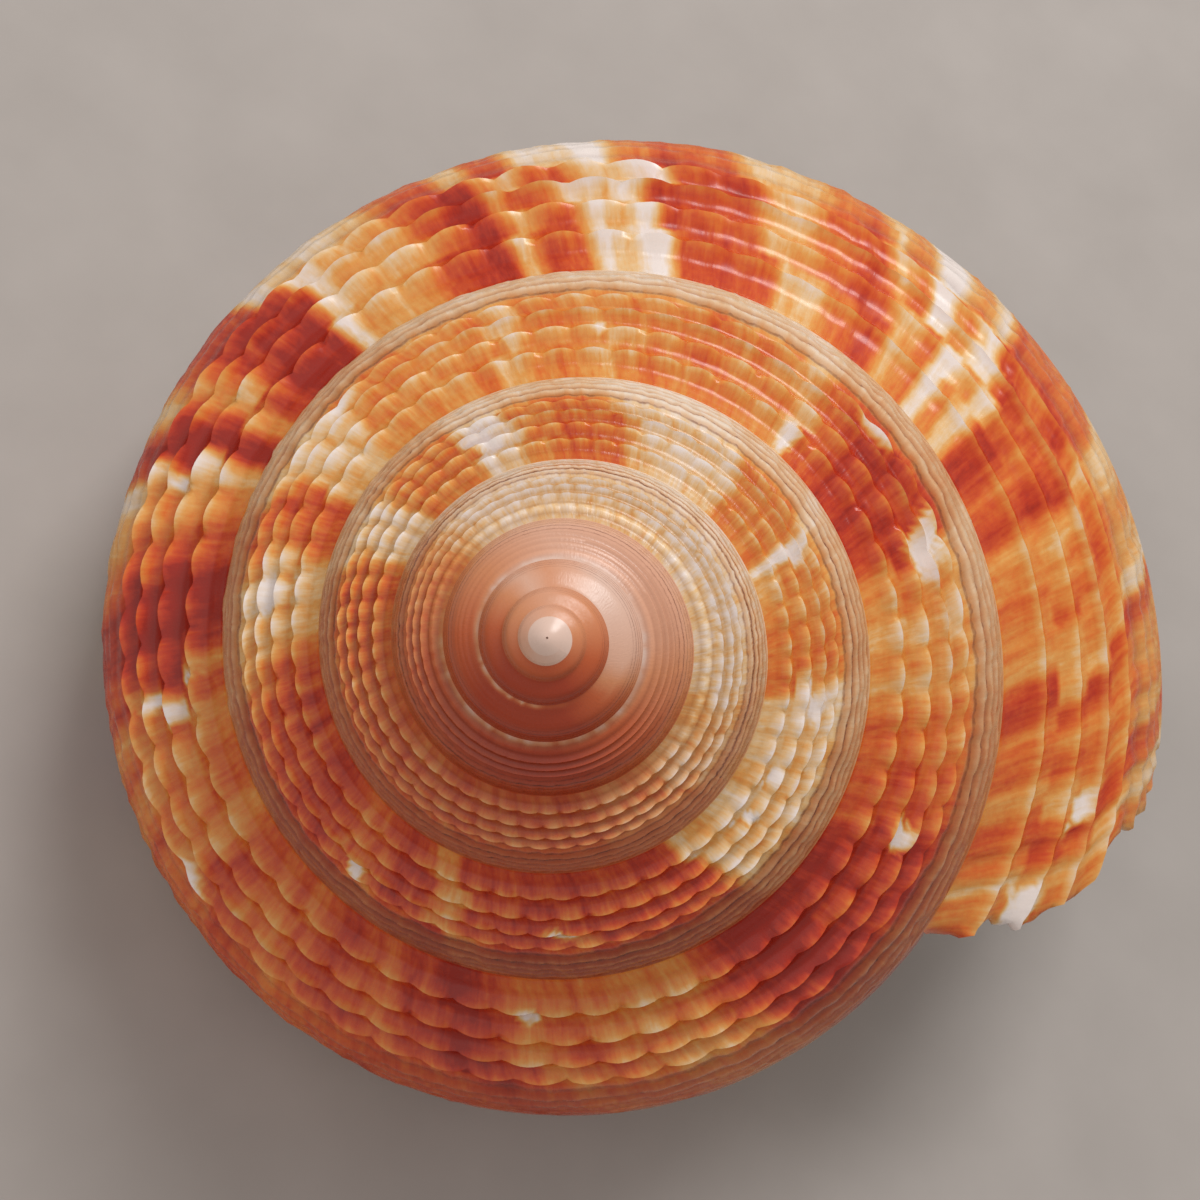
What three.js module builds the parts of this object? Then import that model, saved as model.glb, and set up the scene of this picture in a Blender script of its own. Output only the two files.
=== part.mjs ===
import * as THREE from "three";
import { mergeVertices } from "three/addons/utils/BufferGeometryUtils.js";

// Slit shell lying on its base, millimetres, +Z up.
// The spiral is first built upright with its tip at the origin, then leaned into the pose it rests in.

// Growth of the spiral
const LIP_R = 34.8; // radius of the lower seam of the last whorl, at the lip
const WIDTH_GROWTH = 1.565; // widening in one turn
const DEPTH_GROWTH = 1.637; // deepening in one turn
const WHORLS = 6.5;
const COLUMN_DEG = 9;

// Section of a whorl, as radius and depth below the tip, both in lip radii
const LOWER_SEAM = new THREE.Vector2(1, 1.25);
const UPPER_SEAM = new THREE.Vector2(1 / WIDTH_GROWTH, LOWER_SEAM.y / DEPTH_GROWTH);
const SHOULDER_SHARE = new THREE.Vector2(0.66, 0.37); // shoulder between the seams
const WALL_LEAN = 0.36; // outward run per unit of drop at the lower seam
const BASE_LOW = new THREE.Vector2(0.43, 1.66); // lowest ring of the base
const BASE_MIDDLE = new THREE.Vector2(0, 1.51); // where the base meets the axis
const MIDDLE_DEPTH = 1.3; // depth of the single point the base closes on

// Handles of the section's four curves: of the ramp's and the wall's length, then in lip radii
const RAMP_HANDLES = [0.4, 0.25];
const WALL_HANDLES = [0.35, 0.3];
const BASE_HANDLES = [0.22, 0.46];
const MIDDLE_HANDLES = [0.2, 0.12];

// Stations down the section, from the upper seam at 0 to the axis
const SHOULDER_STATION = 0.7;
const SEAM_STATION = 1;
const LOWEST_STATION = 1.6;
const AXIS_STATION = 2;
const CORD_CRESTS = [0.16, 0.32, 0.47, 0.6];
const CORD_VALLEYS = [0.24, 0.395, 0.535, 0.68];
const WALL_TOP = 0.78;
const SLIT_TOP = 0.89;
const SLIT_BOTTOM = 0.96;
const PARIETAL_TOP = 1.06;
const COLUMELLA_EDGE = 1.85;
const COLUMELLA_RIM = 1.93;
const BASE_STATIONS = [
  SEAM_STATION,
  PARIETAL_TOP,
  1.2,
  1.34,
  1.47,
  LOWEST_STATION,
  1.72,
  COLUMELLA_EDGE,
  COLUMELLA_RIM,
  AXIS_STATION,
];
const CREST_LIFT = 0.016; // of the local radius
const VALLEY_LIFT = -0.008;

// Lip, slit and inside
const LIP_SWEEP = [
  [0, 0],
  [0.2, 5],
  [0.53, 12],
  [0.7, 20],
  [1, 31],
  [1.25, 56],
  [2, 60],
]; // degrees that the lip falls back at each station
const SWEEP_RUN_DEG = 126; // length over which the columns turn to follow the lip
const SLIT_DEG = 54;
const CAVITY_DEG = 450;
const LIP_WALL = 0.8;
const INNER_WALL = 1.6;
const WALL_RUN_DEG = 45; // the wall thickens over this length behind the lip
const COLUMELLA_SWELL = 0.5;
const TIP_DROP = 0.35; // height of the tip's cap, as a share of the first seam's depth
const WELD = 1e-3; // points closer than this are one point

// Resting pose
const LEAN_DEG = 24.6;
const RAISED_SIDE_DEG = -83; // growth angle of the side that is lifted
const TURN_DEG = -3.3;
const REST_WEAR = 0.6; // flat worn where the base touches the ground

const SHELL_COLOUR = 0xc65a30;

const CORD_STATIONS = [...CORD_CRESTS, ...CORD_VALLEYS].sort((a, b) => a - b);
const UPPER_STATIONS = [0, ...CORD_STATIONS, WALL_TOP, SLIT_TOP, SLIT_BOTTOM, SEAM_STATION];
const WALL_STATIONS = [...UPPER_STATIONS, ...BASE_STATIONS.slice(1)];

const shoulder = UPPER_SEAM.clone().add(LOWER_SEAM.clone().sub(UPPER_SEAM).multiply(SHOULDER_SHARE));
const ramp = shoulder.clone().sub(UPPER_SEAM);
const wall = LOWER_SEAM.clone().sub(shoulder);
const shoulderWay = ramp.clone().normalize().add(wall.clone().normalize()).normalize();
const seamWay = new THREE.Vector2(WALL_LEAN, 1).normalize();
const outWay = new THREE.Vector2(1, 0);

function along(start, way, run) {
  return start.clone().addScaledVector(way, run);
}

const SECTION = [
  {
    from: 0,
    to: SHOULDER_STATION,
    curve: new THREE.CubicBezierCurve(
      UPPER_SEAM,
      along(UPPER_SEAM, ramp, RAMP_HANDLES[0]),
      along(shoulder, shoulderWay, -RAMP_HANDLES[1] * ramp.length()),
      shoulder,
    ),
  },
  {
    from: SHOULDER_STATION,
    to: SEAM_STATION,
    curve: new THREE.CubicBezierCurve(
      shoulder,
      along(shoulder, shoulderWay, WALL_HANDLES[0] * wall.length()),
      along(LOWER_SEAM, seamWay, -WALL_HANDLES[1] * wall.length()),
      LOWER_SEAM,
    ),
  },
  {
    from: SEAM_STATION,
    to: LOWEST_STATION,
    curve: new THREE.CubicBezierCurve(
      LOWER_SEAM,
      along(LOWER_SEAM, seamWay, BASE_HANDLES[0]),
      along(BASE_LOW, outWay, BASE_HANDLES[1]),
      BASE_LOW,
    ),
  },
  {
    from: LOWEST_STATION,
    to: AXIS_STATION,
    curve: new THREE.CubicBezierCurve(
      BASE_LOW,
      along(BASE_LOW, outWay, -MIDDLE_HANDLES[0]),
      along(BASE_MIDDLE, outWay, MIDDLE_HANDLES[1]),
      BASE_MIDDLE,
    ),
  },
];

function sectionAt(station) {
  const part = SECTION.find((s) => station <= s.to);
  const t = (station - part.from) / (part.to - part.from);
  const tangent = part.curve.getTangent(t);
  return { point: part.curve.getPoint(t), outward: new THREE.Vector2(tangent.y, -tangent.x) };
}

function sweepAt(station) {
  const end = LIP_SWEEP.findIndex(([s]) => station <= s);
  const [s1, d1] = LIP_SWEEP[end];
  const [s0, d0] = LIP_SWEEP[Math.max(end - 1, 0)];
  return s1 === s0 ? -d1 : -THREE.MathUtils.mapLinear(station, s0, s1, d0, d1);
}

function ridgeAt(station) {
  if (CORD_CRESTS.includes(station)) {
    return CREST_LIFT;
  }
  return CORD_VALLEYS.includes(station) ? VALLEY_LIFT : 0;
}

// A point of the outside, moved in by a wall thickness where one is given.
// The growth angle is 0 at the lip and falls towards the tip.
function outside(growthDeg, station, inset = 0) {
  const turns = growthDeg / 360;
  const wide = LIP_R * WIDTH_GROWTH ** turns;
  const deep = LIP_R * DEPTH_GROWTH ** turns;
  const { point, outward } = sectionAt(station);
  const inward = (station - LOWEST_STATION) / (AXIS_STATION - LOWEST_STATION);
  const close = Math.max(0, inward) ** 2;
  const rise = inset > 0 ? -inset : wide * ridgeAt(station);
  const radius = wide * point.x + rise * outward.x;
  const depth = THREE.MathUtils.lerp(deep * point.y, LIP_R * MIDDLE_DEPTH, close) + rise * outward.y;
  const turn = THREE.MathUtils.degToRad(-growthDeg);
  const reach = station === AXIS_STATION ? 0 : radius;
  return new THREE.Vector3(reach * Math.cos(turn), reach * Math.sin(turn), -depth);
}

// Columns turn gradually to end along the swept lip.
function swept(growthDeg, station) {
  return growthDeg + sweepAt(station) * Math.max(0, 1 + growthDeg / SWEEP_RUN_DEG);
}

function outerPoint(growthDeg, station) {
  return outside(swept(growthDeg, station), station);
}

function innerPoint(growthDeg, station) {
  if (station === 0) {
    return parietalPoint(growthDeg, PARIETAL_TOP);
  }
  const back = Math.min(1, -growthDeg / WALL_RUN_DEG);
  return outside(swept(growthDeg, station), station, THREE.MathUtils.lerp(LIP_WALL, INNER_WALL, back));
}

function parietalPoint(growthDeg, station) {
  return outside(growthDeg - 360, station);
}

// The pillar between the inner wall and the whorl before, swollen a little at half height.
function columellaPoint(growthDeg, share) {
  const foot = innerPoint(growthDeg, COLUMELLA_EDGE);
  const head = parietalPoint(growthDeg, COLUMELLA_EDGE);
  const point = foot.lerp(head, share);
  const swell = 1 + COLUMELLA_SWELL * share * (1 - share);
  return new THREE.Vector3(point.x * swell, point.y * swell, point.z);
}

const positions = [];

function triangle(a, b, c) {
  if (Math.min(a.distanceTo(b), b.distanceTo(c), c.distanceTo(a)) < WELD) {
    return;
  }
  for (const p of [a, b, c]) {
    positions.push(p.x, p.y, p.z);
  }
}

function quad(a, b, c, d) {
  triangle(a, b, c);
  triangle(a, c, d);
}

// A strip of quads between two rows of points, facing the side from which the rows run clockwise.
function strip(first, second) {
  for (let i = 1; i < first.length; i += 1) {
    quad(first[i - 1], first[i], second[i], second[i - 1]);
  }
}

function angles(from, to) {
  const count = Math.round((to - from) / COLUMN_DEG);
  return Array.from({ length: count + 1 }, (_, i) => from + i * COLUMN_DEG);
}

const isSlit = (station) => station === SLIT_BOTTOM;
const spireAngles = angles(-360 * WHORLS, 0);
const lastAngles = angles(-360, 0);
const beforeSlit = (list) => list.filter((g) => g <= -SLIT_DEG);
const inSlit = lastAngles.filter((g) => g >= -SLIT_DEG);
const cavityAngles = angles(-CAVITY_DEG, 0);

// Outside of the whorls, then of the base
function outerSheet(stations, list) {
  for (let j = 1; j < stations.length; j += 1) {
    const columns = isSlit(stations[j]) ? beforeSlit(list) : list;
    strip(
      columns.map((g) => outerPoint(g, stations[j - 1])),
      columns.map((g) => outerPoint(g, stations[j])),
    );
  }
}

outerSheet(UPPER_STATIONS, spireAngles);
outerSheet(BASE_STATIONS, lastAngles);

// Tip: a low cap over the first turn
const tip = new THREE.Vector3(0, 0, TIP_DROP * outside(-360 * WHORLS, 0).z);
const firstTurn = angles(-360 * WHORLS, -360 * (WHORLS - 1)).map((g) => outside(g, 0));
const firstStep = UPPER_STATIONS.map((s) => outside(-360 * WHORLS, s)).reverse();
const tipRing = [...firstTurn, ...firstStep.slice(1)];
for (let i = 1; i < tipRing.length; i += 1) {
  triangle(tip, tipRing[i], tipRing[i - 1]);
}

// Inside of the last whorl: outer wall, pillar and the whorl before
const innerStations = WALL_STATIONS.filter((s) => s <= COLUMELLA_EDGE);
for (let j = 1; j < innerStations.length; j += 1) {
  const columns = isSlit(innerStations[j]) ? beforeSlit(cavityAngles) : cavityAngles;
  strip(
    columns.map((g) => innerPoint(g, innerStations[j])),
    columns.map((g) => innerPoint(g, innerStations[j - 1])),
  );
}
const pillarShares = [0, 0.25, 0.5, 0.75, 1];
for (let j = 1; j < pillarShares.length; j += 1) {
  strip(
    cavityAngles.map((g) => columellaPoint(g, pillarShares[j])),
    cavityAngles.map((g) => columellaPoint(g, pillarShares[j - 1])),
  );
}
const parietalStations = BASE_STATIONS.filter((s) => s >= PARIETAL_TOP && s <= COLUMELLA_EDGE);
for (let j = 1; j < parietalStations.length; j += 1) {
  strip(
    cavityAngles.map((g) => parietalPoint(g, parietalStations[j - 1])),
    cavityAngles.map((g) => parietalPoint(g, parietalStations[j])),
  );
}

// End of the hollow
const endRing = [
  ...innerStations.map((s) => innerPoint(-CAVITY_DEG, s)),
  ...pillarShares.slice(1).map((t) => columellaPoint(-CAVITY_DEG, t)),
  ...parietalStations.slice(0, -1).reverse().map((s) => parietalPoint(-CAVITY_DEG, s)),
];
const endMiddle = endRing.reduce((sum, p) => sum.add(p), new THREE.Vector3()).divideScalar(endRing.length);
for (let i = 1; i < endRing.length; i += 1) {
  triangle(endMiddle, endRing[i], endRing[i - 1]);
}

// Edge of the lip, with a gap at the slit, and the front of the pillar
for (let j = 1; j < innerStations.length; j += 1) {
  if (isSlit(innerStations[j])) {
    continue;
  }
  const edge = [innerStations[j - 1], innerStations[j]];
  strip(
    edge.map((s) => innerPoint(0, s)),
    edge.map((s) => outerPoint(0, s)),
  );
}
const pillarFront = pillarShares.map((t) => columellaPoint(0, t));
const pillarBack = [
  outerPoint(0, COLUMELLA_EDGE),
  outerPoint(0, COLUMELLA_RIM),
  outerPoint(0, AXIS_STATION),
  outerPoint(-360, COLUMELLA_RIM),
  outerPoint(-360, COLUMELLA_EDGE),
];
strip(pillarFront, pillarBack);

// Sides and end of the slit
strip(
  inSlit.map((g) => outerPoint(g, SLIT_TOP)),
  inSlit.map((g) => innerPoint(g, SLIT_TOP)),
);
strip(
  inSlit.map((g) => innerPoint(g, SLIT_BOTTOM)),
  inSlit.map((g) => outerPoint(g, SLIT_BOTTOM)),
);
strip(
  [outerPoint(-SLIT_DEG, SLIT_BOTTOM), outerPoint(-SLIT_DEG, SLIT_TOP)],
  [innerPoint(-SLIT_DEG, SLIT_BOTTOM), innerPoint(-SLIT_DEG, SLIT_TOP)],
);

const loose = new THREE.BufferGeometry();
loose.setAttribute("position", new THREE.Float32BufferAttribute(positions, 3));
const geometry = mergeVertices(loose, WELD);

// Lean, turn and set down on the ground with the middle of its box over the origin
const raised = THREE.MathUtils.degToRad(-RAISED_SIDE_DEG);
const leanAxis = new THREE.Vector3(Math.sin(raised), -Math.cos(raised), 0);
geometry.applyMatrix4(new THREE.Matrix4().makeRotationAxis(leanAxis, THREE.MathUtils.degToRad(LEAN_DEG)));
geometry.rotateZ(THREE.MathUtils.degToRad(TURN_DEG));
geometry.computeBoundingBox();
const middle = geometry.boundingBox.getCenter(new THREE.Vector3());
geometry.translate(-middle.x, -middle.y, -geometry.boundingBox.min.z - REST_WEAR);
const placed = geometry.getAttribute("position");
for (let i = 0; i < placed.count; i += 1) {
  placed.setZ(i, Math.max(0, placed.getZ(i)));
}
geometry.computeVertexNormals();

const shell = new THREE.Mesh(
  geometry,
  new THREE.MeshStandardMaterial({ color: SHELL_COLOUR, roughness: 0.35, metalness: 0 }),
);
shell.name = "shell";

const part = new THREE.Group();
part.name = "slit_shell";
part.add(shell);

export default part;
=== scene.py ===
# %% [markdown]
# A slit shell is the house of a sea snail: one tube of lime that coils around an upright axis and
# widens as the animal grows. This lesson rolls flat grids into that tube by a formula, welds them
# into one closed body, raises its cords and beads, and paints its flames with shader nodes.
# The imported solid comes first, because it fixes the size and the place of everything after it.

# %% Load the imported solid
import math

import bpy
import numpy as np
from mathutils import Matrix, Quaternion, Vector


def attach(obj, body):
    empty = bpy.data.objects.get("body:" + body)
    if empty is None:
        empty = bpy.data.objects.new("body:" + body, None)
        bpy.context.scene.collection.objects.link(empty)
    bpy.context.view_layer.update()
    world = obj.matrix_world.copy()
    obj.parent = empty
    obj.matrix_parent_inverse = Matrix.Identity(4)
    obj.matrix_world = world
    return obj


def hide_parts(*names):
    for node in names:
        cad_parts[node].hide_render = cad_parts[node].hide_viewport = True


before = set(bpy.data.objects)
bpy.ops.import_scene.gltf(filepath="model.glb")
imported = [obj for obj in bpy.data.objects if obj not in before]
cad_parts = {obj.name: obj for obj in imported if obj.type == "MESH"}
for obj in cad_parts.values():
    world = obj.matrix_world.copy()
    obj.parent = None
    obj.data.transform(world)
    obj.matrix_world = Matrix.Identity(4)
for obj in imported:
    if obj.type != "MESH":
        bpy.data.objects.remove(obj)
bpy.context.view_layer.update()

MM = 0.001

# %% [markdown]
# The camera stands in front of the shell and above it, and looks steeply down on the spire. It is
# also rolled about its own line of sight, as a hand-held camera is. Giving a place, a line of sight
# and a roll is easier to read than three Euler angles, and a quaternion joins them without surprises.

# %% Camera
CAMERA_PLACE = Vector((-3.38, -45.28, 107.27)) * MM
CAMERA_SIGHT = Vector((0.0098, 0.428, -0.9037))
CAMERA_ROLL = math.radians(37.8)
CAMERA_LENS_MM = 56.0
CAMERA_SENSOR_MM = 36.0
NEAREST_SEEN = 2 * MM

bpy.ops.object.select_all(action="DESELECT")
bpy.ops.object.camera_add(location=CAMERA_PLACE)
camera = bpy.context.object
camera.rotation_mode = "QUATERNION"
camera.rotation_quaternion = CAMERA_SIGHT.to_track_quat("-Z", "Y") @ Quaternion((0, 0, 1), CAMERA_ROLL)
camera.data.lens = CAMERA_LENS_MM
camera.data.sensor_width = CAMERA_SENSOR_MM
camera.data.clip_start = NEAREST_SEEN
bpy.context.scene.camera = camera
print("camera stands", round(CAMERA_PLACE.length / MM), "mm from the shell's foot")

# %% [markdown]
# Colours are easiest to choose as the hex values that a paint program shows, which are sRGB. Shaders
# work in linear light, so one function turns the first into the second. A second small function adds
# a shader node, sets what it is given and links what it is given, so that a material reads as a list.

# %% Helpers for materials
def colour(code):
    """Linear RGBA of an sRGB hex code."""
    parts = [int(code[i:i + 2], 16) / 255 for i in (1, 3, 5)]
    return (*[p / 12.92 if p <= 0.04045 else ((p + 0.055) / 1.055) ** 2.4 for p in parts], 1.0)


def add(tree, kind, inputs=None, **settings):
    """A new node with its settings, its input values and its links."""
    node = tree.nodes.new(kind)
    for name, value in settings.items():
        setattr(node, name, value)
    for socket, value in (inputs or {}).items():
        if isinstance(value, bpy.types.NodeSocket):
            tree.links.new(value, node.inputs[socket])
        else:
            node.inputs[socket].default_value = value
    return node


def stops(ramp, marks):
    """Sets a colour ramp's stops from a list of place and hex code."""
    elements = ramp.color_ramp.elements
    while len(elements) < len(marks):
        elements.new(0.5)
    for element, (place, code) in zip(elements, marks):
        element.position = place
        element.color = colour(code)
    return ramp


def new_material(name):
    """A node material, its tree and its main shader."""
    material = bpy.data.materials.new(name)
    material.use_nodes = True
    tree = material.node_tree
    return material, tree, tree.nodes["Principled BSDF"]


print("middle grey in linear light:", [round(x, 2) for x in colour("#808080")[:3]])

# %% [markdown]
# The floor is plain matt paper, pale and a little warm. A plane is enough for it, because nothing
# of it is looked at closely. A faint mottling keeps it from looking like an empty background.

# %% Floor
FLOOR_SIZE = 4.0
PAPER_MOTTLE_MM = 9.0
PAPER_TONES = [(0.3, "#A69E98"), (0.7, "#ADA59F")]
PAPER_ROUGHNESS = 0.75

bpy.ops.object.select_all(action="DESELECT")
bpy.ops.mesh.primitive_plane_add(size=FLOOR_SIZE)
floor = bpy.context.object
floor.name = "floor"
paper, tree, shader = new_material("matt_paper")
place = add(tree, "ShaderNodeTexCoord")
mottle = add(
    tree,
    "ShaderNodeTexNoise",
    {"Vector": place.outputs["Object"], "Scale": 1 / (PAPER_MOTTLE_MM * MM), "Detail": 4.0},
)
tone = stops(add(tree, "ShaderNodeValToRGB", {"Fac": mottle.outputs["Fac"]}), PAPER_TONES)
tree.links.new(tone.outputs["Color"], shader.inputs["Base Color"])
shader.inputs["Roughness"].default_value = PAPER_ROUGHNESS
floor.data.materials.append(paper)
print("floor is", FLOOR_SIZE, "m wide")

# %% [markdown]
# Soft studio light: one square lamp high up on the far side gives the shading and the small glints on
# the beads, a wider and weaker one from the near side opens the shadows, and a pale world fills the
# rest. Area lamps are chosen because a larger one gives a softer shadow.

# %% Light
LAMP_AIM_MM = (0, 0, 20)
WORLD_STRENGTH = 0.5


def lamp(name, place_mm, size_mm, power):
    """A square lamp that looks at the middle of the shell."""
    bpy.ops.object.select_all(action="DESELECT")
    bpy.ops.object.light_add(type="AREA", location=Vector(place_mm) * MM)
    light = bpy.context.object
    light.name = name
    light.data.size = size_mm * MM
    light.data.energy = power
    way = Vector(LAMP_AIM_MM) * MM - light.location
    light.rotation_mode = "QUATERNION"
    light.rotation_quaternion = way.to_track_quat("-Z", "Y")
    print(name, "lamp at", place_mm)


lamp("key", place_mm=(-35, 180, 310), size_mm=150, power=0.74)
lamp("fill", place_mm=(-140, -180, 260), size_mm=400, power=0.2)
world = bpy.data.worlds.new("studio")
bpy.context.scene.world = world
world.use_nodes = True
background = world.node_tree.nodes["Background"]
background.inputs["Color"].default_value = colour("#F4F1EE")
background.inputs["Strength"].default_value = WORLD_STRENGTH
bpy.context.scene.view_settings.view_transform = "Standard"

# %% [markdown]
# The section of a whorl is drawn once, as radius and depth below the tip in lip radii. Four curves
# follow each other: the ramp from the upper seam to the shoulder, the wall down to the lower seam,
# the base down to its lowest ring, and the hollow middle. A place on them is called a station: 0 is
# the upper seam, 0.7 the shoulder, 1 the lower seam, 1.6 the lowest ring and 2 the axis.
# Bezier curves are chosen because four points each give the round and the straight stretches.

# %% Section of a whorl
LIP_R = 34.8
WIDTH_GROWTH = 1.565
DEPTH_GROWTH = 1.637
SHOULDER_SHARES = (0.66, 0.37)
LOWER_SEAM = np.array((1.0, 1.25))
UPPER_SEAM = LOWER_SEAM / (WIDTH_GROWTH, DEPTH_GROWTH)
SHOULDER = UPPER_SEAM + (LOWER_SEAM - UPPER_SEAM) * SHOULDER_SHARES
BASE_LOW = np.array((0.43, 1.66))
BASE_MIDDLE = np.array((0.0, 1.51))
SHOULDER_STATION, SEAM_STATION, LOWEST_STATION, AXIS_STATION = 0.7, 1.0, 1.6, 2.0
SEAM_SLOPE = (0.36, 1.0)
RAMP_HANDLE, AXIS_HANDLE = 0.4, 0.12
SHOULDER_HANDLES = (0.25, 0.35)
SEAM_HANDLES = (0.3, 0.22)
LOWEST_HANDLES = (0.46, 0.2)


def unit(way):
    """The same direction with length 1."""
    return way / np.linalg.norm(way)


out_way = np.array((1.0, 0.0))
ramp_run = SHOULDER - UPPER_SEAM
wall_run = LOWER_SEAM - SHOULDER
shoulder_way = unit(unit(ramp_run) + unit(wall_run))
seam_way = unit(np.array(SEAM_SLOPE))
ramp_out = UPPER_SEAM + RAMP_HANDLE * ramp_run
shoulder_in = SHOULDER - SHOULDER_HANDLES[0] * np.linalg.norm(ramp_run) * shoulder_way
shoulder_out = SHOULDER + SHOULDER_HANDLES[1] * np.linalg.norm(wall_run) * shoulder_way
seam_in = LOWER_SEAM - SEAM_HANDLES[0] * np.linalg.norm(wall_run) * seam_way
seam_out = LOWER_SEAM + SEAM_HANDLES[1] * seam_way
lowest_in = BASE_LOW + LOWEST_HANDLES[0] * out_way
lowest_out = BASE_LOW - LOWEST_HANDLES[1] * out_way
axis_in = BASE_MIDDLE + AXIS_HANDLE * out_way
CURVES = [
    (0.0, SHOULDER_STATION, (UPPER_SEAM, ramp_out, shoulder_in, SHOULDER)),
    (SHOULDER_STATION, SEAM_STATION, (SHOULDER, shoulder_out, seam_in, LOWER_SEAM)),
    (SEAM_STATION, LOWEST_STATION, (LOWER_SEAM, seam_out, lowest_in, BASE_LOW)),
    (LOWEST_STATION, AXIS_STATION, (BASE_LOW, lowest_out, axis_in, BASE_MIDDLE)),
]


def section(station):
    """Points of the section and its outward normals at the given stations."""
    point = np.zeros(station.shape + (2,))
    way = np.zeros_like(point)
    for start, end, (a, b, c, d) in CURVES:
        here = (station >= start) & (station <= end)
        t = ((station[here] - start) / (end - start))[:, None]
        point[here] = (1 - t) ** 3 * a + 3 * (1 - t) ** 2 * t * b + 3 * (1 - t) * t ** 2 * c + t ** 3 * d
        way[here] = (1 - t) ** 2 * (b - a) + 2 * (1 - t) * t * (c - b) + t ** 2 * (d - c)
    way /= np.linalg.norm(way, axis=-1, keepdims=True)
    return point, np.stack((way[..., 1], -way[..., 0]), axis=-1)


print("shoulder at", np.round(SHOULDER * LIP_R, 1), "mm, out and down")

# %% [markdown]
# The lip does not stand straight across the whorl. It leans back from the seam to the base, and
# every growth line on the shell is an old lip, so beads, streaks and flames all lean the same way.
# Growth angles are in degrees and run back from 0 at the lip to -2880 at the tip. Adding the lip's
# sweep to the growth angle gives a coordinate that stays the same along a growth line.

# %% Growth lines
SWEEP_STATIONS = (0.0, 0.2, 0.53, 0.7, 1.0, 1.25, 2.0)
SWEEP_DEGREES = (0.0, 5.0, 12.0, 20.0, 31.0, 56.0, 60.0)
OLD_LEAN = 0.4
LEAN_CHANGE = (-60, -8)
NOISE_KNOTS = 4096
CHANCE_ROWS, CHANCE_COLUMNS = 64, 1024


def smooth(low, high, x):
    """A soft step from 0 at low to 1 at high."""
    t = np.clip((x - low) / (high - low), 0, 1)
    return t * t * (3 - 2 * t)


def sweep(station):
    """Degrees by which the lip falls back at a station."""
    return np.interp(station, SWEEP_STATIONS, SWEEP_DEGREES)


def grain(growth, station, middle=0.0):
    """Growth angle counted along the grain, which leans less than the lip on the older shell."""
    lean = OLD_LEAN + (1 - OLD_LEAN) * smooth(*LEAN_CHANGE, growth)
    return growth + lean * (sweep(station) - sweep(middle))


def wander(x, seed):
    """Smooth noise from -1 to 1 along a line, with one knot per unit of x."""
    knots = np.random.default_rng(seed).uniform(-1, 1, NOISE_KNOTS)
    whole = np.floor(x).astype(int)
    t = smooth(0, 1, x - whole)
    return knots[whole % NOISE_KNOTS] * (1 - t) + knots[(whole + 1) % NOISE_KNOTS] * t


def chance(first, second, seed):
    """A fixed random number from -1 to 1 for each pair of whole numbers."""
    table = np.random.default_rng(seed).uniform(-1, 1, (CHANCE_ROWS, CHANCE_COLUMNS))
    return table[first % CHANCE_ROWS, second % CHANCE_COLUMNS]


print("the lip falls back", sweep(SEAM_STATION), "degrees at the lower seam")

# %% [markdown]
# Four cords run round the ramp of each whorl. They are cut into beads by the growth lines, a little
# over fifty to a turn. Over the last third of a turn the beads fade and leave thin smooth cords. The
# wall below the shoulder carries fine crinkled threads, and the base has low cords of its own.
# Real height is used for all of these, because they show in the outline and catch the light; a bump
# map would look flat from the side.

# %% Relief
CORD_CRESTS = (0.16, 0.32, 0.47, 0.6)
CORD_VALLEYS = (0.24, 0.395, 0.535, 0.68)
SEAM_LEDGE = [(0.0, 0.0), (0.06, 0.003), (0.09, -0.003)]
CREST_LIFT, VALLEY_LIFT = 0.016, -0.008
CORD_SLIMNESS = 2.5
RIDGES_BEGIN = (-1800, -1250)
BEADS_BEGIN = (-1440, -1190)
BEADS_FADE = (-135, -75)
BEADS_PER_TURN = 54
BEAD_GROWTH = 1.02
BEAD_UNEVENNESS = 0.1
BEAD_LIFT, BEAD_MIDDLE = 0.016, 0.7
BEAD_ROUNDNESS, BEAD_TILT = 0.8, 0.2
THIN_CORD_LIFT, THIN_CORD_SINK = 0.014, 0.003
THREADS = 5
THREAD_LIFT, CRINKLE_LIFT = 0.006, 0.004
BASE_CORDS, BASE_CORDS_RUN = 13, 0.8
BASE_CORD_LIFT = 0.004
GROWTH_LINE_LIFT = 0.0008


def cord_height(station):
    """Height of the smooth cords, in whorl radii."""
    marks = SEAM_LEDGE + [(crest, CREST_LIFT) for crest in CORD_CRESTS]
    marks += [(valley, VALLEY_LIFT) for valley in CORD_VALLEYS]
    marks += [(SHOULDER_STATION + 0.03, 0.0), (AXIS_STATION, 0.0)]
    places, heights = zip(*sorted(marks))
    step = np.clip(np.searchsorted(places, station, side="right") - 1, 0, len(places) - 2)
    low, high = np.take(places, step), np.take(places, step + 1)
    t = smooth(0, 1, (station - low) / (high - low))
    return np.take(heights, step) * (1 - t) + np.take(heights, step + 1) * t


def cord_share(station):
    """1 on the crest of a cord and 0 in a valley."""
    share = (cord_height(station) - VALLEY_LIFT) / (CREST_LIFT - VALLEY_LIFT)
    return np.clip(share, 0, 1) * (station < SHOULDER_STATION)


def thread_count(station):
    """Threads of the wall, counted down from the shoulder."""
    return THREADS * (station - SHOULDER_STATION) / (SEAM_STATION - SHOULDER_STATION)


def bead_count(line):
    """How many beads were laid down from the tip to a growth line."""
    even = BEADS_PER_TURN / math.log(BEAD_GROWTH) * BEAD_GROWTH ** (line / 360)
    return even + BEAD_UNEVENNESS * wander(line / 23, 5)


def bead_shape(line):
    """1 on the top of a bead and 0 in the gap to the next, a little higher at its younger end."""
    part = bead_count(line) % 1.0
    return np.sin(np.pi * part) ** BEAD_ROUNDNESS + BEAD_TILT * (part - 0.5)


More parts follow.
